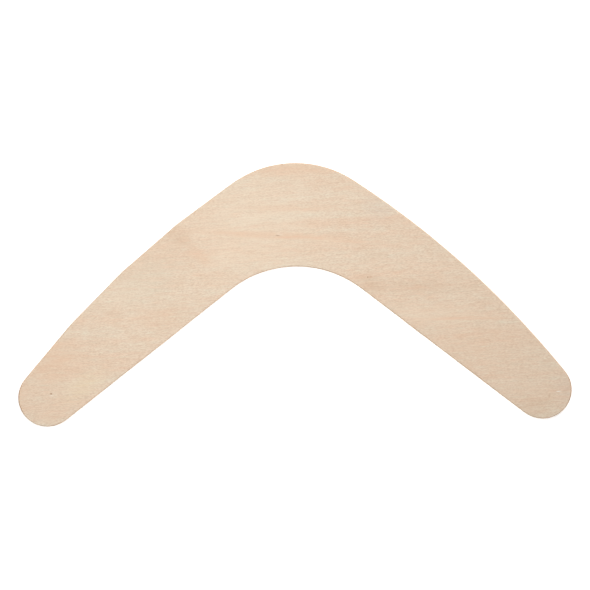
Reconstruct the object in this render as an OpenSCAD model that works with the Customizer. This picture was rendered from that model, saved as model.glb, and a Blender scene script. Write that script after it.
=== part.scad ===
// Boomerang blank cut from one sheet of thin five-ply plywood.
//
// +X runs from tip to tip, +Y from the tips towards the elbow, and +Z through the thickness.
// The origin lies under the middle of the blank's box, on the surface that the blank lies on.
// Every layer has the same outline, and each one lies face to face on the one below it.

/* [Plan] */
// Span from tip to tip
span = 380; // [340:5:420]
// Reach from the tips to the outside of the elbow
reach = 178.5; // [170:0.5:190]
// Width of the wood across the elbow
elbow_w = 71.25; // [62:0.25:78]
// Distance of the elbow to the right of mid-span
elbow_x = 1.5; // [-6:0.5:6]
// Radius of each rounded tip
tip_r = 20; // [17:0.5:22]
// Radius outside the elbow
outer_r = 74; // [60:1:85]
// Radius inside the elbow
inner_r = 73; // [55:1:90]
// Radius of the long bow along the outer edge of each arm
bow_r = 620; // [500:10:900]
// Straight saw cuts that stand in for the bow on the left arm
left_cuts = 4; // [3:1:12]

/* [Layers] */
// Thickness of the face veneer and of the back veneer
veneer_t = 0.9; // [0.4:0.05:1.5]
// Thickness of each crossband
crossband_t = 0.95; // [0.4:0.05:1.5]
// Thickness of the core ply
core_t = 0.9; // [0.4:0.05:2]
// Thickness of each film of glue
glue_t = 0.1; // [0.05:0.05:0.2]

/* [Hidden] */

// Colours of the sanded faces, of wood across the grain, and of cured glue
face_colour = "#E4CEB6";
crossband_colour = "#C9A57C";
core_colour = "#DDC09C";
glue_colour = "#8A5F3C";

// Largest distance between a round stretch and the short edges that draw it
arc_gap = 0.02;

// Centres of the four circles that the outline wraps round
left_tip = [tip_r - span / 2, tip_r - reach / 2];
right_tip = [span / 2 - tip_r, tip_r - reach / 2];
outer_elbow = [elbow_x, reach / 2 - outer_r];
inner_elbow = [elbow_x, reach / 2 - elbow_w - inner_r];

// Undersides of the layers, from the back veneer upwards
back_glue_z = veneer_t;
lower_crossband_z = back_glue_z + glue_t;
lower_core_glue_z = lower_crossband_z + crossband_t;
core_z = lower_core_glue_z + glue_t;
upper_core_glue_z = core_z + core_t;
upper_crossband_z = upper_core_glue_z + glue_t;
face_glue_z = upper_crossband_z + crossband_t;
face_veneer_z = face_glue_z + glue_t;

// Angle of a vector, anticlockwise from +X
function heading(v) = atan2(v.y, v.x);

// The number of short edges that draws an arc to within arc_gap
function arc_steps(radius, sweep) = ceil(abs(sweep) / (2 * acos(1 - arc_gap / radius)));

// The points of an arc in so many steps, from step number first to step number last
function arc_points(centre, radius, from, to, steps, first, last) = [
    for (i = [first:last])
        let (angle = from + (to - from) * i / steps)
            centre + radius * [cos(angle), sin(angle)]
];

// An arc with both of its ends
function arc(centre, radius, from, to) =
    let (steps = arc_steps(radius, to - from))
        arc_points(centre, radius, from, to, steps, 0, steps);

// Centre of the bow, the large circle that just holds a tip's circle and the outer elbow's.
// Side is 1 where the centre lies left of the way from the tip to the elbow, and -1 where right.
function bow_centre(tip, side) =
    let (
        way = outer_elbow - tip,
        distance = norm(way),
        to_tip = bow_r - tip_r,
        to_elbow = bow_r - outer_r,
        along = (to_tip ^ 2 - to_elbow ^ 2 + distance ^ 2) / (2 * distance),
        across = sqrt(to_tip ^ 2 - along ^ 2)
    )
        tip + (along * way + side * across * [-way.y, way.x]) / distance;

// Angle from a tip's centre to where the straight inner edge leaves the tip.
// The edge crosses from one side to the other between the tip's circle and the inner elbow's.
function inner_edge_angle(tip, side) =
    let (way = inner_elbow - tip)
        (heading(way) + side * acos((tip_r + inner_r) / norm(way)) + 360) % 360;

left_bow = bow_centre(left_tip, -1);
right_bow = bow_centre(right_tip, 1);

// Angles at which the outline passes from one circle to the next
left_shoulder = heading(outer_elbow - left_bow);
right_shoulder = heading(outer_elbow - right_bow);
left_bow_end = heading(left_tip - left_bow);
left_inner_edge = inner_edge_angle(left_tip, -1);
right_inner_edge = inner_edge_angle(right_tip, 1);
right_bow_start = heading(right_tip - right_bow);

// Steps along the smooth bow of the right arm
right_steps = arc_steps(bow_r, right_shoulder - right_bow_start);

// The outline, anticlockwise from the right-hand end of the outer elbow
outline = concat(
    arc(outer_elbow, outer_r, right_shoulder, left_shoulder),
    arc_points(left_bow, bow_r, left_shoulder, left_bow_end, left_cuts, 1, left_cuts - 1),
    arc(left_tip, tip_r, left_bow_end, left_inner_edge),
    arc(inner_elbow, inner_r, left_inner_edge - 180, right_inner_edge - 180),
    arc(right_tip, tip_r, right_inner_edge, right_bow_start + 360),
    arc_points(right_bow, bow_r, right_bow_start, right_shoulder, right_steps, 1, right_steps - 1)
);

// One layer of the sheet, cut to the outline
module layer(underside, thickness) {
    translate([0, 0, underside])
        linear_extrude(height = thickness)
            polygon(outline);
}

module face_veneer() {
    color(face_colour) layer(face_veneer_z, veneer_t);
}

module face_glue_film() {
    color(glue_colour) layer(face_glue_z, glue_t);
}

module upper_crossband() {
    color(crossband_colour) layer(upper_crossband_z, crossband_t);
}

module upper_core_glue_film() {
    color(glue_colour) layer(upper_core_glue_z, glue_t);
}

module core_ply() {
    color(core_colour) layer(core_z, core_t);
}

module lower_core_glue_film() {
    color(glue_colour) layer(lower_core_glue_z, glue_t);
}

module lower_crossband() {
    color(crossband_colour) layer(lower_crossband_z, crossband_t);
}

module back_glue_film() {
    color(glue_colour) layer(back_glue_z, glue_t);
}

module back_veneer() {
    color(face_colour) layer(0, veneer_t);
}

face_veneer();
face_glue_film();
upper_crossband();
upper_core_glue_film();
core_ply();
lower_core_glue_film();
lower_crossband();
back_glue_film();
back_veneer();
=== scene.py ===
import math

import bpy
import numpy as np
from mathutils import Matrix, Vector, noise
from mathutils.geometry import delaunay_2d_cdt


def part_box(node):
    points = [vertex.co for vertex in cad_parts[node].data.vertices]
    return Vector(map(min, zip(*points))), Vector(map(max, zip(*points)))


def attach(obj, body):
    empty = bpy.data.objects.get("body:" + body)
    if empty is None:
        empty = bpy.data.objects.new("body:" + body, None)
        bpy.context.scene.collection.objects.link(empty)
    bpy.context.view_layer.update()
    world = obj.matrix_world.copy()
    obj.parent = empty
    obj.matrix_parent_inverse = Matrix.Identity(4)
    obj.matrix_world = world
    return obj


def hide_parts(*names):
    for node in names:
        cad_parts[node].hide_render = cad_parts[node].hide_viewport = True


# The looks of a raw plywood boomerang blank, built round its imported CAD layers. Lengths are in
# metres in the row frame: +X from tip to tip, +Y towards the elbow, +Z up through the plies.
MM = 0.001

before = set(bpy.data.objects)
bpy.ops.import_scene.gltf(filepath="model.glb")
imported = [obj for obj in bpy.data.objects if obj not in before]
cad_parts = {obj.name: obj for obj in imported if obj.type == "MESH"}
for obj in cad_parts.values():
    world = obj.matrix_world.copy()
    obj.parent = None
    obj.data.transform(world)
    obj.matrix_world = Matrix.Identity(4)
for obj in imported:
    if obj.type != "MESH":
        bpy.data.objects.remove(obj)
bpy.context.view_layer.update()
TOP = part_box("face_veneer")[1].z

# --- camera -------------------------------------------------------------------------------------

VIEW_CENTRE = (1.1 * MM, -1.5 * MM)   # the middle of the picture, on the blank's face
VIEW_TURN = math.radians(-0.93)       # the blank lies turned a little to the left in the picture
VIEW_WIDTH = 405 * MM                 # the width that the picture takes in at the blank's face
LENS = 135.0                          # focal length and sensor width, in millimetres
SENSOR = 36.0
CLIP_START = 10 * MM
CLIP_END = 100.0


def add_camera():
    """A long lens straight above the blank."""
    data = bpy.data.cameras.new("camera")
    data.lens = LENS
    data.sensor_width = SENSOR
    data.clip_start = CLIP_START
    data.clip_end = CLIP_END
    camera = bpy.data.objects.new("camera", data)
    bpy.context.scene.collection.objects.link(camera)
    distance = VIEW_WIDTH * LENS / SENSOR
    camera.location = (*VIEW_CENTRE, TOP + distance)
    camera.rotation_euler = (0.0, 0.0, VIEW_TURN)
    bpy.context.scene.camera = camera


# --- outline ------------------------------------------------------------------------------------

STEP = 1.0 * MM           # distance between neighbouring points of a layer's outline
BLUR = 1.2 * MM           # how far the CAD outline's short edges are smoothed into curves
WOBBLE = 0.15 * MM        # how far the hand-cut edge wanders
LONG_WAVE = 30 * MM       # length of its slow wander
SHORT_WAVE = 9 * MM       # and of its quick one
FLATNESS = 0.01 * MM      # height within which a point counts as on a layer's top
DECIMALS = 6              # decimals of a metre to which a point is told from others


def top_border(node):
    """The sides round a CAD layer's top face, as each side's start and where it ends."""
    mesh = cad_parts[node].data
    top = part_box(node)[1].z
    sides = {}
    for polygon in mesh.polygons:
        corners = [mesh.vertices[i].co for i in polygon.vertices]
        if all(abs(c.z - top) < FLATNESS for c in corners):
            keys = [(round(c.x, DECIMALS), round(c.y, DECIMALS)) for c in corners]
            sides.update(dict.fromkeys(zip(keys, keys[1:] + keys[:1])))
    # A side that no neighbour runs along the other way lies on the border
    return {a: b for a, b in sides if (b, a) not in sides}


def cad_outline(node):
    """The outline of a CAD layer, anticlockwise, as rows of x and y."""
    border = top_border(node)
    loop = [max(border, key=lambda point: point[1])]
    while border[loop[-1]] != loop[0]:
        loop.append(border[loop[-1]])
    points = np.array(loop)
    after = np.roll(points, -1, axis=0)
    area = np.sum(points[:, 0] * after[:, 1] - points[:, 1] * after[:, 0])
    return points if area > 0 else points[::-1]


def even_loop(points, step):
    """The same closed line, cut into even steps."""
    closed = np.vstack([points, points[:1]])
    run = np.concatenate([[0.0], np.cumsum(np.linalg.norm(np.diff(closed, axis=0), axis=1))])
    count = round(run[-1] / step)
    places = np.arange(count) * run[-1] / count
    return np.column_stack([np.interp(places, run, closed[:, k]) for k in (0, 1)])


def smoothed(loop, step, reach):
    """A closed line of even steps, blurred over a distance."""
    pitch = np.fft.fftfreq(len(loop))[:, None] / step
    kept = np.exp(-2.0 * (math.pi * pitch * reach) ** 2)
    return np.real(np.fft.ifft(np.fft.fft(loop, axis=0) * kept, axis=0))


def outward(loop):
    """The outward direction at each point of an anticlockwise loop."""
    along = np.roll(loop, -1, axis=0) - np.roll(loop, 1, axis=0)
    along /= np.linalg.norm(along, axis=1)[:, None]
    return np.column_stack([along[:, 1], -along[:, 0]])


def ripple(points, length, seed):
    """Smooth noise from -1 to 1 at each point, wandering over about that length."""
    return np.array([noise.noise(Vector((x / length, y / length, seed))) for x, y in points])


def hand_cut_outline():
    """The outline that every layer shares, with its outward directions."""
    loop = smoothed(even_loop(cad_outline("core_ply"), STEP), STEP, BLUR)
    wander = 0.6 * ripple(loop, LONG_WAVE, seed=1.5) + 0.4 * ripple(loop, SHORT_WAVE, seed=4.5)
    loop = loop + outward(loop) * (WOBBLE * wander)[:, None]
    return loop, outward(loop)


OUTLINE, OUTWARD = hand_cut_outline()


def inset(distance):
    """The outline moved inwards, by one distance or by one for each point."""
    return OUTLINE - OUTWARD * np.broadcast_to(distance, len(OUTLINE))[:, None]


# --- marks in the veneers -----------------------------------------------------------------------

# Each mark is (x, y, half length, half width, turn, depth), in millimetres and degrees
PIN_KNOT = (-167.4, -66.7, 0.75, 0.7, 10.0, 0.20)
DARK_PORE = (-10.1, 39.5, 1.7, 0.38, -4.0, 0.10)
BARK_FLECK = (51.2, 9.9, 0.55, 0.75, 0.0, 0.08)
SMALL_PORE = (78.0, 5.3, 0.8, 0.35, -3.0, 0.06)
SCRATCH = (181.1, -70.5, 2.3, 0.38, 5.0, 0.07)
FACE_MARKS = (PIN_KNOT, DARK_PORE, BARK_FLECK, SMALL_PORE, SCRATCH)
BACK_KNOT = (92.0, -13.0, 0.9, 0.7, 35.0, 0.20)
BACK_PORE = (-74.0, 22.0, 1.9, 0.35, 3.0, 0.10)
BACK_MARKS = (BACK_KNOT, BACK_PORE)

# Distances from a mark's middle are counted in its own half lengths, so that 1 is on its rim
MARK_REACH = 2.2                      # how far its finer rings of points go
MARK_CLEARANCE = 1.3 * MARK_REACH     # how far the even grid of points keeps off
MARK_RINGS = 9
MARK_SPOKES = 18
PIT_WIDTH = 0.75
LIP_PLACE = 1.5
LIP_WIDTH = 0.35
LIP_HEIGHT = 0.12                     # a share of the mark's depth


def mark_points(mark):
    """The points of finer rings round a mark."""
    x, y, length, width, turn, _ = mark
    turn = math.radians(turn)
    points = [(x * MM, y * MM)]
    for ring in range(1, MARK_RINGS + 1):
        for spoke in range(MARK_SPOKES):
            angle = 2 * math.pi * (spoke + 0.5 * (ring % 2)) / MARK_SPOKES
            reach = MARK_REACH * ring / MARK_RINGS
            u, v = length * reach * math.cos(angle), width * reach * math.sin(angle)
            points.append(((x + u * math.cos(turn) - v * math.sin(turn)) * MM,
                           (y + u * math.sin(turn) + v * math.cos(turn)) * MM))
    return np.array(points)


def mark_distance(mark, points):
    """Distance from a mark's middle, in its own half lengths."""
    x, y, length, width, turn, _ = mark
    turn = math.radians(turn)
    dx, dy = points[:, 0] / MM - x, points[:, 1] / MM - y
    u = (dx * math.cos(turn) + dy * math.sin(turn)) / length
    v = (dy * math.cos(turn) - dx * math.sin(turn)) / width
    return np.hypot(u, v)


def sunk(points, marks):
    """How deep the marks sink the face at each point, with a slight lip round each one."""
    total = np.zeros(len(points))
    for mark in marks:
        *_, depth = mark
        away = mark_distance(mark, points)
        pit = np.exp(-(away / PIT_WIDTH) ** 2)
        lip = np.exp(-((away - LIP_PLACE) / LIP_WIDTH) ** 2)
        total += depth * MM * (pit - LIP_HEIGHT * lip)
    return total


# --- layers as meshes ---------------------------------------------------------------------------

GRID = 2.5 * MM               # spacing of the points inside a face
RIM_GAP = 0.6 * GRID          # clear strip between those points and the face's rim
SHARP = math.radians(32)      # a crease sharper than this isn't shaded smooth
NO_POINTS = np.zeros((0, 3))


def inside(points, loop):
    """Which points lie inside a closed loop."""
    x, y = points[:, 0][:, None], points[:, 1][:, None]
    ax, ay = loop[:, 0], loop[:, 1]
    bx, by = np.roll(ax, -1), np.roll(ay, -1)
    spans = (ay > y) != (by > y)
    crossing = ax + (y - ay) * (bx - ax) / np.where(spans, by - ay, 1.0)
    return np.sum(spans & (x < crossing), axis=1) % 2 == 1


def clear_of(points, others, gap):
    """Which points are further than a gap from all of the others."""
    away = np.linalg.norm(points[:, None, :] - others[None, :, :], axis=2)
    return away.min(axis=1) > gap


def face_grid(ring, marks):
    """Points inside a face: an even grid, and finer rings round each mark."""
    low, high = ring.min(axis=0), ring.max(axis=0)
    columns = np.arange(low[0], high[0], GRID)
    rows = np.arange(low[1], high[1], GRID * math.sqrt(3) / 2)
    grid = np.array([(x + GRID / 2 * (j % 2), y) for j, y in enumerate(rows) for x in columns])
    grid = grid[inside(grid, ring)]
    grid = grid[clear_of(grid, ring, RIM_GAP)]
    for mark in marks:
        grid = grid[mark_distance(mark, grid) > MARK_CLEARANCE]
    return np.vstack([grid, *(mark_points(mark) for mark in marks)])


def cap(ring, inner, ring_start, inner_start):
    """Triangles over a ring and the points inside it, numbered from where the mesh holds each."""
    flat = [Vector(point) / MM for point in np.vstack([ring, inner])]
    count = len(ring)
    only_inside, closeness = 1, 1e-6
    found = delaunay_2d_cdt(flat, [], [list(range(count))], only_inside, closeness)
    triangles, sources = found[2], found[3]

    def number(corner):
        source = sources[corner][0]
        return source + ring_start if source < count else source - count + inner_start

    return [tuple(number(corner) for corner in triangle) for triangle in triangles]


def wall_faces(count, last_ring):
    """Four-sided faces between rings of so many points, from the first up to where the last starts."""
    faces = []
    for below in range(0, last_ring, count):
        above = below + count
        for i in range(count):
            j = (i + 1) % count
            faces.append((below + i, below + j, above + j, above + i))
    return faces


def add_piece(name, vertices, faces):
    """A piece from its points and faces, shaded smooth between its sharp creases."""
    mesh = bpy.data.meshes.new(name)
    mesh.from_pydata(vertices.tolist(), [], faces)
    mesh.validate()
    mesh.shade_smooth()
    mesh.set_sharp_from_angle(angle=SHARP)
    piece = bpy.data.objects.new(name, mesh)
    bpy.context.scene.collection.objects.link(piece)
    return piece


def layer(name, rings, top_inner=NO_POINTS, bottom_inner=NO_POINTS):
    """A closed layer from rings of (points, heights), bottom first, and points on its two faces."""
    count = len(OUTLINE)
    walls = [np.column_stack([points, np.broadcast_to(z, count)]) for points, z in rings]
    last_ring = (len(rings) - 1) * count
    past_rings = len(rings) * count
    past_top = past_rings + len(top_inner)
    faces = wall_faces(count, last_ring)
    faces += cap(rings[-1][0], top_inner[:, :2], last_ring, past_rings)
    faces += [face[::-1] for face in cap(rings[0][0], bottom_inner[:, :2], 0, past_top)]
    return add_piece(name, np.vstack([*walls, top_inner, bottom_inner]), faces)


# --- the nine layers ----------------------------------------------------------------------------

ARRIS_WIDTH = 1.0 * MM        # how far the sanding of the two outer arrises reaches over a face
ARRIS_DEPTH = 0.55 * MM       # and how far down the edge
ARRIS_STEPS = 8
MARGIN = 0.5 * MM             # width of the flat strip that frames a face, inside its arris
LONG_GRAIN_WEAR = 0.03 * MM   # how much further sanding wears long grain back than end grain
EDGE_ROUGHNESS = 0.015 * MM   # unevenness of a ply's edge along the outline
PLY_ROUGHNESS = 0.012 * MM    # finer unevenness between the heights of an inner ply's edge
PLY_HOLLOW = 0.04 * MM        # how hollow an inner ply's edge is worn, where it shows long grain
PLY_HEIGHTS = (0.0, 0.2, 0.5, 0.8, 1.0)
GLUE_SETBACK = 0.05 * MM      # how far a film of glue stands back from the edge


def long_grain(grain_x):
    """From 1 where a ply's edge shows long grain to 0 where it shows end grain."""
    return 1.0 - np.abs(OUTWARD[:, 0] if grain_x else OUTWARD[:, 1])


def edge_relief(seed, grain_x):
    """How far sanding has worn a ply's edge back at each point of the outline."""
    rough = EDGE_ROUGHNESS * (1.0 + ripple(OUTLINE, 1.7 * MM, seed))
    return LONG_GRAIN_WEAR * long_grain(grain_x) + rough


def heights(node):
    """The heights of a CAD layer's underside and top."""
    low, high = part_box(node)
    return low.z, high.z


def arris_rings(relief, sanding, outer_z, sign):
    """Rings round a sanded arris, from the edge of a veneer to its face. Sign is 1 for a face up."""
    rings = []
    for k in range(ARRIS_STEPS + 1):
        angle = math.pi / 2 * k / ARRIS_STEPS
        across = relief * math.cos(angle) + ARRIS_WIDTH * sanding * (1.0 - math.cos(angle))
        down = ARRIS_DEPTH * sanding * (1.0 - math.sin(angle))
        rings.append((inset(across), outer_z - sign * down))
    return rings


def outer_veneer(name, node, marks, seed, up):
    """A face or back veneer, with its outer arris sanded round and its marks sunk in."""
    low, high = heights(node)
    inner_z, outer_z = (low, high) if up else (high, low)
    sign = 1.0 if up else -1.0
    sanding = 1.0 + 0.25 * ripple(OUTLINE, 22 * MM, seed) + 0.1 * ripple(OUTLINE, 5 * MM, seed)
    relief = edge_relief(seed, grain_x=True)
    arris = arris_rings(relief, sanding, outer_z, sign)
    rim = inset(ARRIS_WIDTH * sanding + MARGIN)
    rings = [(inset(relief), inner_z), *arris, (rim, outer_z)]
    flat = face_grid(rim, marks)
    inner = np.column_stack([flat, outer_z - sign * sunk(flat, marks)])
    if up:
        return layer(name, rings, top_inner=inner)
    return layer(name, rings[::-1], bottom_inner=inner)


def inner_ply(name, node, seed, grain_x):
    """A crossband or the core: its edge is worn a little hollow where it shows long grain."""
    low, high = heights(node)
    relief = edge_relief(seed, grain_x)
    hollow = PLY_HOLLOW * long_grain(grain_x)
    rings = []
    for share in PLY_HEIGHTS:
        rough = PLY_ROUGHNESS * ripple(OUTLINE, 1.1 * MM, seed + 7.0 * share)
        bow = hollow * math.sin(math.pi * share)
        rings.append((inset(relief + bow + rough), low + (high - low) * share))
    return layer(name, rings)


def glue_film(name, node, seed):
    """A film of glue, its edge standing back a little unevenly."""
    low, high = heights(node)
    back = GLUE_SETBACK * (1.0 + 0.6 * ripple(OUTLINE, 3.0 * MM, seed))
    return layer(name, [(inset(back), low), (inset(back), high)])


# --- colours ------------------------------------------------------------------------------------

def rgb(red, green, blue):
    """A linear colour from sRGB values out of 255."""
    def linear(value):
        value /= 255
        return value / 12.92 if value <= 0.04045 else ((value + 0.055) / 1.055) ** 2.4
    return (linear(red), linear(green), linear(blue), 1.0)


# Palettes of cream wood, pinker wood and dark fibre, in order
FACE_WOOD = (rgb(238, 227, 206), rgb(239, 207, 180), rgb(195, 158, 126))
BACK_WOOD = (rgb(239, 221, 198), rgb(238, 205, 177), rgb(188, 158, 122))
CORE_WOOD = (rgb(234, 212, 182), rgb(226, 194, 160), rgb(182, 146, 108))
CROSS_WOOD = (rgb(224, 196, 163), rgb(214, 181, 147), rgb(170, 130, 94))

# Tints of the soft bands in the veneers
PINK = rgb(232, 196, 166)
TAN = rgb(208, 174, 144)
CREAM = rgb(240, 223, 199)
STRAW = rgb(238, 216, 180)
ASH = rgb(210, 200, 178)
GREY = rgb(210, 188, 173)

# Wood cut along its edge and across its ends, the marks, and the glue
EDGE = rgb(206, 172, 136)
END = rgb(176, 136, 98)
DARK_MARK = rgb(158, 106, 68)
RUST_MARK = rgb(196, 148, 106)
LIGHT_MARK = rgb(250, 240, 226)
CLEAR_GLUE = rgb(112, 74, 44)
DUSTY_GLUE = rgb(170, 128, 88)

# Soft bands of colour in the veneers: x, y, half length, half width and turn, in millimetres and
# degrees, then the tint and how strong it is
FACE_BANDS = (
    (-25, 45, 66, 56, 10, CREAM, 0.50),
    (1, 84, 32, 8, 0, PINK, 0.45),
    (8, 57.5, 62, 2.8, -4, PINK, 0.40),
    (-3, 39, 92, 3.4, -4.2, PINK, 0.85),
    (-79, 40, 18, 9, -25, TAN, 0.40),
    (-63, 26, 15, 6, -35, PINK, 0.40),
    (-49, 24, 13, 10, 20, CREAM, 0.35),
    (24, 35, 16, 5, -4, CREAM, 0.28),
    (60, 58, 17, 20, -20, GREY, 0.28),
    (91, 4, 48, 8, 0, TAN, 0.30),
    (54, 5, 15, 10, -20, TAN, 0.42),
    (57, 24, 13, 8, -20, TAN, 0.20),
    (95, -16, 46, 11, -1, CREAM, 0.42),
    (118, -19.5, 40, 2.2, -1, PINK, 0.80),
    (128, -36, 60, 30, -25, PINK, 0.26),
    (188, -70, 14, 24, 0, GREY, 0.26),
    (168, -81, 22, 10, -10, TAN, 0.36),
    (-110, 4, 34, 14, 30, CREAM, 0.26),
    (-96, 14, 40, 24, 38, ASH, 0.30),
    (-123, -12, 12, 4, -10, TAN, 0.30),
    (-94, -16, 24, 11, 10, PINK, 0.32),
    (-84, -14, 32, 20, 38, TAN, 0.16),
    (-166, -46, 32, 28, 40, PINK, 0.52),
    (-145, -62, 26, 12, 30, STRAW, 0.42),
    (-166, -82, 18, 8, 0, PINK, 0.30),
    (-188, -68, 12, 16, 0, PINK, 0.34),
)
BACK_BANDS = (
    (-40, 52, 110, 5, 3, PINK, 0.5),
    (30, 34, 90, 4, 2, TAN, 0.3),
    (-120, -20, 45, 7, 4, CREAM, 0.5),
    (110, -10, 60, 5, 3, PINK, 0.5),
    (150, -48, 40, 8, 5, TAN, 0.3),
    (-150, -56, 40, 5, 4, TAN, 0.3),
)

# Small soft spots of colour, given in the same way, and the tint and strength of each mark
FACE_SPOTS = (
    (-167.1, -67.9, 1.7, 1.1, 0, LIGHT_MARK, 0.40),
    (-9.0, 40.3, 3.4, 0.5, -3, LIGHT_MARK, 0.35),
    (53.2, 10.1, 2.6, 0.9, -3, RUST_MARK, 0.35),
    (174.6, -73.6, 1.3, 1.9, -25, TAN, 0.65),
)
FACE_TINTS = (
    (PIN_KNOT, DARK_MARK, 0.62),
    (DARK_PORE, DARK_MARK, 0.46),
    (BARK_FLECK, DARK_MARK, 0.50),
    (SMALL_PORE, DARK_MARK, 0.22),
    (SCRATCH, LIGHT_MARK, 0.95),
)
BACK_TINTS = (
    (BACK_KNOT, DARK_MARK, 0.55),
    (BACK_PORE, DARK_MARK, 0.40),
)


# --- shader nodes -------------------------------------------------------------------------------

class Graph:
    """One material's shader nodes, added and linked by short calls."""

    # A mix node's colour sockets, which share their names with its sockets for other kinds
    MIX_A, MIX_B, MIX_RESULT = 6, 7, 2

    def __init__(self, name, shift=(0.0, 0.0, 0.0)):
        """Shift moves the material's patterns, so that no two materials match."""
        self.material = bpy.data.materials.new(name)
        self.material.use_nodes = True
        self.tree = self.material.node_tree
        self.shader = self.tree.nodes["Principled BSDF"]
        self.place = self.tree.nodes.new("ShaderNodeTexCoord")
        self.shift = shift

    def fill(self, socket, value):
        if isinstance(value, bpy.types.NodeSocket):
            self.tree.links.new(value, socket)
        else:
            socket.default_value = value

    def shade(self, socket, value):
        self.fill(self.shader.inputs[socket], value)

    def add(self, kind, inputs, output=0, **settings):
        node = self.tree.nodes.new(kind)
        for key, value in settings.items():
            setattr(node, key, value)
        for key, value in inputs.items():
            self.fill(node.inputs[key], value)
        return node.outputs[output]

    def math(self, operation, a, b=0.0, c=0.0):
        return self.add("ShaderNodeMath", {0: a, 1: b, 2: c}, operation=operation)

    def times(self, a, b):
        return self.math("MULTIPLY", a, b)

    def total(self, *terms, start=0.0):
        """The sum of values that are each given with a weight."""
        for value, weight in terms:
            start = self.math("MULTIPLY_ADD", value, weight, start)
        return start

    def cells(self, size, source=None, shift=None):
        """Coordinates counted in cells of that size in millimetres."""
        return self.add("ShaderNodeMapping", {
            "Vector": self.place.outputs["Object"] if source is None else source,
            "Location": self.shift if shift is None else shift,
            "Scale": tuple(1.0 / (s * MM) for s in size)})

    def noise(self, where, detail=2.0, roughness=0.5):
        return self.add("ShaderNodeTexNoise", {"Vector": where, "Scale": 1.0, "Detail": detail,
                                               "Roughness": roughness})

    def span(self, value, low, high, to_low=0.0, to_high=1.0, smooth=False):
        """A value carried from one range into another, and kept within it."""
        kind = "SMOOTHSTEP" if smooth else "LINEAR"
        return self.add("ShaderNodeMapRange", {"Value": value, "From Min": low, "From Max": high,
                                               "To Min": to_low, "To Max": to_high},
                        interpolation_type=kind)

    def blend(self, share, a, b):
        """Colour a with a share of colour b over it."""
        return self.add("ShaderNodeMix", {"Factor": share, self.MIX_A: a, self.MIX_B: b},
                        output=self.MIX_RESULT, data_type="RGBA")

    def bump(self, height, strength, distance):
        self.shade("Normal", self.add("ShaderNodeBump", {"Height": height, "Strength": strength,
                                                         "Distance": distance}))


# --- wood ---------------------------------------------------------------------------------------

# Sizes of the patterns in the wood, in millimetres: along the grain, and both ways across it
DRIFT = (70, 18, 18)          # the slow wander of the grain
GROWTH = (150, 8, 8)          # broad growth bands
PATCHES = (13, 4, 4)
WISPS = (7, 0.6, 0.6)
BREAKS = (17, 1.7, 1.7)       # gaps in the soft bands of colour
THREADS = (20, 0.42, 0.42)    # long dark threads
FIBRES = (1.4, 0.34, 0.34)    # short dark fibres
RAYS = (6.5, 0.8, 0.8)        # ray flecks, hardly darker than the wood
PORES = (2.4, 0.45, 0.45)

# Sizes of the patterns in the edge, in millimetres along X, Y and Z
STROKES = (0.35, 0.35, 2.5)   # strokes through the thickness
PITS = (0.22, 0.22, 0.22)     # open pits in the end grain

GRAIN_WANDER = 5 * MM         # how far the grain wanders sideways
LEAN = -0.055                 # slope of the grain against the line from tip to tip
WOOD_BUMP = 0.04 * MM


def shifted_sideways(graph, where, distance):
    """Coordinates moved across the grain by a distance that varies over the wood."""
    offset = graph.add("ShaderNodeCombineXYZ", {"Y": distance})
    return graph.add("ShaderNodeVectorMath", {0: where, 1: offset}, operation="ADD")


def grain_coordinates(graph, grain_x):
    """Coordinates with the grain along their X: straight, wandering, and wandering on a slope."""
    straight = graph.place.outputs["Object"]
    if not grain_x:
        straight = graph.add("ShaderNodeMapping", {"Vector": straight,
                                                   "Rotation": (0.0, 0.0, math.pi / 2)})
    drift = graph.math("SUBTRACT", graph.noise(graph.cells(DRIFT, straight)), 0.5)
    wavy = shifted_sideways(graph, straight, graph.times(drift, GRAIN_WANDER))
    reach = graph.add("ShaderNodeSeparateXYZ", {0: straight})
    leaning = shifted_sideways(graph, wavy, graph.times(reach, LEAN))
    return straight, wavy, leaning


def soft_spot(graph, where, ellipse, solid=0.0):
    """1 in the middle of an ellipse, fading to 0 at its rim."""
    x, y, length, width, turn = ellipse
    local = graph.add("ShaderNodeMapping", {"Vector": where, "Location": (x * MM, y * MM, 0.0),
                                            "Rotation": (0.0, 0.0, math.radians(turn)),
                                            "Scale": (length * MM, width * MM, 1.0)},
                      vector_type="TEXTURE")
    away = graph.add("ShaderNodeVectorMath", {0: local}, output="Value", operation="LENGTH")
    return graph.span(away, 1.0 + 0.25 * solid, solid, smooth=True)


def flecks(graph, where, size, shift):
    """Spindles along the grain, most of them faint and a few of them strong."""
    cells = graph.cells(size, where, shift)
    away = graph.add("ShaderNodeTexVoronoi", {"Vector": cells, "Scale": 1.0}, feature="F1")
    strength = graph.span(away.node.outputs["Color"], 0.25, 0.9)
    return graph.times(graph.span(away, 0.48, 0.10, smooth=True), strength)


def growth_colour(graph, leaning, cream, blush):
    """Cream wood that turns pinker in growth bands, soft patches and thin wisps."""
    growth = graph.noise(graph.cells(GROWTH, leaning), detail=3.0, roughness=0.55)
    patches = graph.noise(graph.cells(PATCHES, leaning))
    wisps = graph.noise(graph.cells(WISPS, leaning), detail=1.0)
    hue = graph.total((patches, 0.8), (growth, 1.7), (wisps, 1.2))
    return graph.blend(graph.span(hue, 1.20, 2.60), cream, blush)


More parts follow.
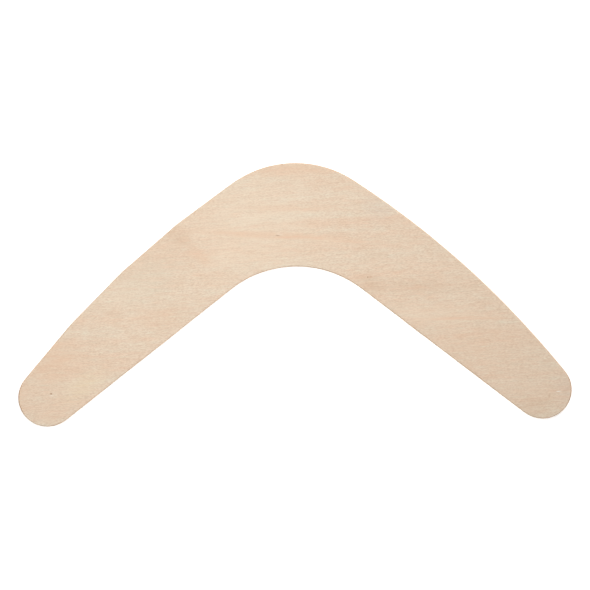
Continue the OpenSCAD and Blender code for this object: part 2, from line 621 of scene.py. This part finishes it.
def fine_grain(graph, leaning, seed):
    """The fibres, the pores, and how much these, the threads and the rays darken the wood."""
    threads = graph.noise(graph.cells(THREADS, leaning), detail=1.0)
    fibres = graph.noise(graph.cells(FIBRES, leaning), detail=1.0)
    rays = flecks(graph, leaning, RAYS, graph.shift)
    pores = flecks(graph, leaning, PORES, (seed * 2.3, seed, seed))
    dark_threads = graph.span(threads, 0.35, 0.80)
    dark_fibres = graph.span(fibres, 0.35, 0.80)
    tone = graph.total((pores, 0.14), (rays, 0.07), (dark_threads, 0.18), (dark_fibres, 0.50))
    return fibres, pores, tone


def with_bands(graph, colour, wavy, leaning, bands):
    """The colour with soft bands over it, broken up by the grain."""
    breaks = graph.noise(graph.cells(BREAKS, leaning), detail=3.0, roughness=0.6)
    uneven = graph.span(breaks, 0.3, 0.7, 0.2, 1.3)
    for *ellipse, tint, strength in bands:
        share = graph.times(soft_spot(graph, wavy, ellipse), strength)
        colour = graph.blend(graph.times(share, uneven), colour, tint)
    return colour


def edge_shares(graph, grain_x):
    """How much a point shows of the ply's edge, of end grain, and of the arris's dark line, which is
    part end grain and part painted shade.
    """
    normal = graph.add("ShaderNodeSeparateXYZ", {0: graph.place.outputs["Normal"]}).node.outputs
    upright = graph.math("ABSOLUTE", normal["Z"])
    # The level part of the normal, kept just above 0 on a flat face
    level = graph.math("SQRT", graph.math("SUBTRACT", 1.001, graph.times(upright, upright)))
    across = graph.math("DIVIDE", graph.math("ABSOLUTE", normal["X" if grain_x else "Y"]), level)
    edge = graph.span(upright, 0.85, 0.25, smooth=True)
    end = graph.times(graph.span(across, 0.35, 0.95, smooth=True), edge)
    # Darkening of the arris near the face, partly end grain and partly painted shade: strong where it
    # shows end grain, and a painted shade line all round the outline
    worn = graph.span(upright, 0.998, 0.94)
    arris_end_grain_and_shade = graph.times(worn, graph.span(across, 0.74, 0.97, 0.15, 0.90))
    return edge, end, arris_end_grain_and_shade


def with_edge(graph, colour, shares, strokes, open_pits):
    """The colour with edge and end grain over it, where the outline turns away from the faces, and a
    painted shade line along the arris.
    """
    edge, end, arris_end_grain_and_shade = shares
    edge_tone = graph.blend(graph.span(strokes, 0.3, 0.7, 0.0, 0.55), EDGE, END)
    end_share = graph.times(end, graph.span(strokes, 0.3, 0.7, 0.42, 0.78))
    # Painted shade line along the arris, deepest where it shows end grain
    colour = graph.blend(arris_end_grain_and_shade, colour, END)
    colour = graph.blend(graph.times(edge, 0.40), colour, edge_tone)
    colour = graph.blend(end_share, colour, END)
    return graph.blend(open_pits, colour, DARK_MARK)


def with_marks(graph, colour, straight, spots, tints):
    """The colour with the small soft spots and the tinted marks over it."""
    for *ellipse, tint, strength in spots:
        share = graph.times(soft_spot(graph, straight, ellipse), strength)
        colour = graph.blend(share, colour, tint)
    for (*ellipse, _), tint, strength in tints:
        share = graph.times(soft_spot(graph, straight, ellipse, solid=0.4), strength)
        colour = graph.blend(share, colour, tint)
    return colour


def wood(name, grain_x, seed, palette, bands=(), spots=(), tints=()):
    """Raw sanded wood, with its growth, its fine grain, its edges and its marks."""
    cream, blush, dark = palette
    graph = Graph(name, shift=(seed, seed * 1.7, seed * 0.6))
    straight, wavy, leaning = grain_coordinates(graph, grain_x)
    fibres, pores, tone = fine_grain(graph, leaning, seed)
    shares = edge_shares(graph, grain_x)
    edge, end, _ = shares
    strokes = graph.noise(graph.cells(STROKES))
    pits = graph.noise(graph.cells(PITS), detail=1.0)
    open_pits = graph.times(end, graph.span(pits, 0.58, 0.76, 0.0, 0.55))

    colour = graph.blend(tone, growth_colour(graph, leaning, cream, blush), dark)
    colour = with_bands(graph, colour, wavy, leaning, bands)
    colour = with_edge(graph, colour, shares, strokes, open_pits)
    graph.shade("Base Color", with_marks(graph, colour, straight, spots, tints))

    graph.shade("Roughness", graph.total((fibres, 0.22), (pores, 0.08), (edge, 0.1), start=0.56))
    graph.shade("Specular IOR Level", 0.28)
    edge_strokes = graph.times(strokes, edge)
    height = graph.total((fibres, 0.8), (pores, -0.6), (edge_strokes, 1.6), (open_pits, -1.5))
    graph.bump(height, strength=0.5, distance=WOOD_BUMP)
    return graph.material


# --- glue ---------------------------------------------------------------------------------------

SQUEEZE_OUT = (3.0, 3.0, 1.0)   # sizes of its patches and of the specks of dust, in millimetres
DUST = (0.3, 0.3, 0.3)
GLUE_BUMP = 0.03 * MM


def glue(name):
    """Cured glue: brown, a little glossy, with uneven squeeze-out and wood dust in it."""
    graph = Graph(name)
    patches = graph.noise(graph.cells(SQUEEZE_OUT), detail=3.0, roughness=0.6)
    dust = graph.noise(graph.cells(DUST))
    tone = graph.span(graph.total((patches, 0.7), (dust, 0.5)), 0.35, 0.85)
    graph.shade("Base Color", graph.blend(tone, CLEAR_GLUE, DUSTY_GLUE))
    graph.shade("Roughness", graph.total((dust, 0.3), start=0.42))
    graph.bump(dust, strength=0.4, distance=GLUE_BUMP)
    return graph.material


# --- assembly -----------------------------------------------------------------------------------

def fit(piece, node, material):
    """Puts a finished layer in place of its CAD node."""
    piece.data.materials.append(material)
    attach(piece, "root")
    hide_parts(node)


def add_veneers():
    """The two veneers that show, with their grain from tip to tip."""
    face = wood("face_wood", True, 3.1, FACE_WOOD, FACE_BANDS, FACE_SPOTS, FACE_TINTS)
    back = wood("back_wood", True, 21.7, BACK_WOOD, BACK_BANDS, tints=BACK_TINTS)
    face_sheet = outer_veneer("face_veneer_sheet", "face_veneer", FACE_MARKS, seed=2.3, up=True)
    back_sheet = outer_veneer("back_veneer_sheet", "back_veneer", BACK_MARKS, seed=8.9, up=False)
    fit(face_sheet, "face_veneer", face)
    fit(back_sheet, "back_veneer", back)


def add_inner_plies():
    """The core, with its grain from tip to tip, and the two crossbands, with theirs across."""
    core = wood("core_wood", True, 37.3, CORE_WOOD)
    cross = wood("crossband_wood", False, 51.9, CROSS_WOOD)
    core_sheet = inner_ply("core_ply_sheet", "core_ply", seed=5.4, grain_x=True)
    fit(core_sheet, "core_ply", core)
    for k, node in enumerate(("upper_crossband", "lower_crossband")):
        sheet = inner_ply(f"{node}_sheet", node, seed=11.2 + 3.0 * k, grain_x=False)
        fit(sheet, node, cross)


def add_glue_films():
    """The films of glue between the plies."""
    film = glue("glue_line")
    nodes = ("face_glue_film", "upper_core_glue_film", "lower_core_glue_film", "back_glue_film")
    for k, node in enumerate(nodes):
        fit(glue_film(f"{node}_line", node, seed=17.6 + 3.0 * k), node, film)


# --- floor and light ----------------------------------------------------------------------------

FLOOR_HALF = 6.0              # half the width of the table top
FLOOR_DROP = 0.05 * MM        # how far it lies below the blank
FLOOR_COLOUR = (0.92, 0.92, 0.92, 1.0)
FLOOR_GLOW = 0.58             # strength of its own light, which keeps it white all over
WHITE = (1.0, 1.0, 1.0, 1.0)
WALL_TOP = 0.04               # slope, as a sine, above which the bright walls grow dim
CEILING_START = 0.16          # and above which the ceiling starts
CEILING = 0.26                # brightness of the ceiling, where the walls have 1
BOX_PLACE = (-0.105, 0.02, 0.53)
BOX_AIM = (-0.105, 0.02, 0.0)
SIDE_PLACE = (1.00, 1.38, 0.98)
SIDE_AIM = (0.0, 0.0, 0.0)


def add_floor():
    """A plain white table, a hair below the blank."""
    half = FLOOR_HALF
    corners = [(-half, -half, 0), (half, -half, 0), (half, half, 0), (-half, half, 0)]
    mesh = bpy.data.meshes.new("floor")
    mesh.from_pydata(corners, [], [(0, 1, 2, 3)])
    floor = bpy.data.objects.new("floor", mesh)
    floor.location.z = -FLOOR_DROP
    bpy.context.scene.collection.objects.link(floor)
    graph = Graph("floor")
    graph.shade("Base Color", FLOOR_COLOUR)
    graph.shade("Roughness", 0.9)
    graph.shade("Specular IOR Level", 0.0)
    graph.shade("Emission Color", WHITE)
    graph.shade("Emission Strength", FLOOR_GLOW)
    mesh.materials.append(graph.material)


def add_world():
    """Bright walls all round, low down, and a dimmer ceiling."""
    world = bpy.data.worlds.new("studio")
    world.use_nodes = True
    tree = world.node_tree
    ceiling = tree.nodes.new("ShaderNodeMapRange")
    ceiling.inputs["From Min"].default_value = WALL_TOP
    ceiling.inputs["From Max"].default_value = CEILING_START
    ceiling.inputs["To Min"].default_value = 1.0
    ceiling.inputs["To Max"].default_value = CEILING
    direction = tree.nodes.new("ShaderNodeTexCoord")
    parts = tree.nodes.new("ShaderNodeSeparateXYZ")
    tree.links.new(direction.outputs["Generated"], parts.inputs[0])
    tree.links.new(parts.outputs["Z"], ceiling.inputs["Value"])
    tree.links.new(ceiling.outputs[0], tree.nodes["Background"].inputs["Color"])
    bpy.context.scene.world = world


def add_light(name, place, aim, size, power):
    """A square soft light, unseen by the camera, that faces a point."""
    data = bpy.data.lights.new(name, "AREA")
    data.size = size
    data.energy = power
    light = bpy.data.objects.new(name, data)
    light.location = place
    light.rotation_euler = (Vector(place) - Vector(aim)).to_track_quat("Z", "Y").to_euler()
    light.visible_camera = False
    bpy.context.scene.collection.objects.link(light)


def add_lights():
    """A soft box overhead, a little left of the middle, and a light from the top right."""
    add_light("soft_box", BOX_PLACE, BOX_AIM, size=0.4, power=1.63)
    add_light("side_light", SIDE_PLACE, SIDE_AIM, size=0.7, power=21.0)


add_camera()
add_veneers()
add_inner_plies()
add_glue_films()
add_floor()
add_world()
add_lights()
bpy.context.scene.view_settings.view_transform = "Standard"
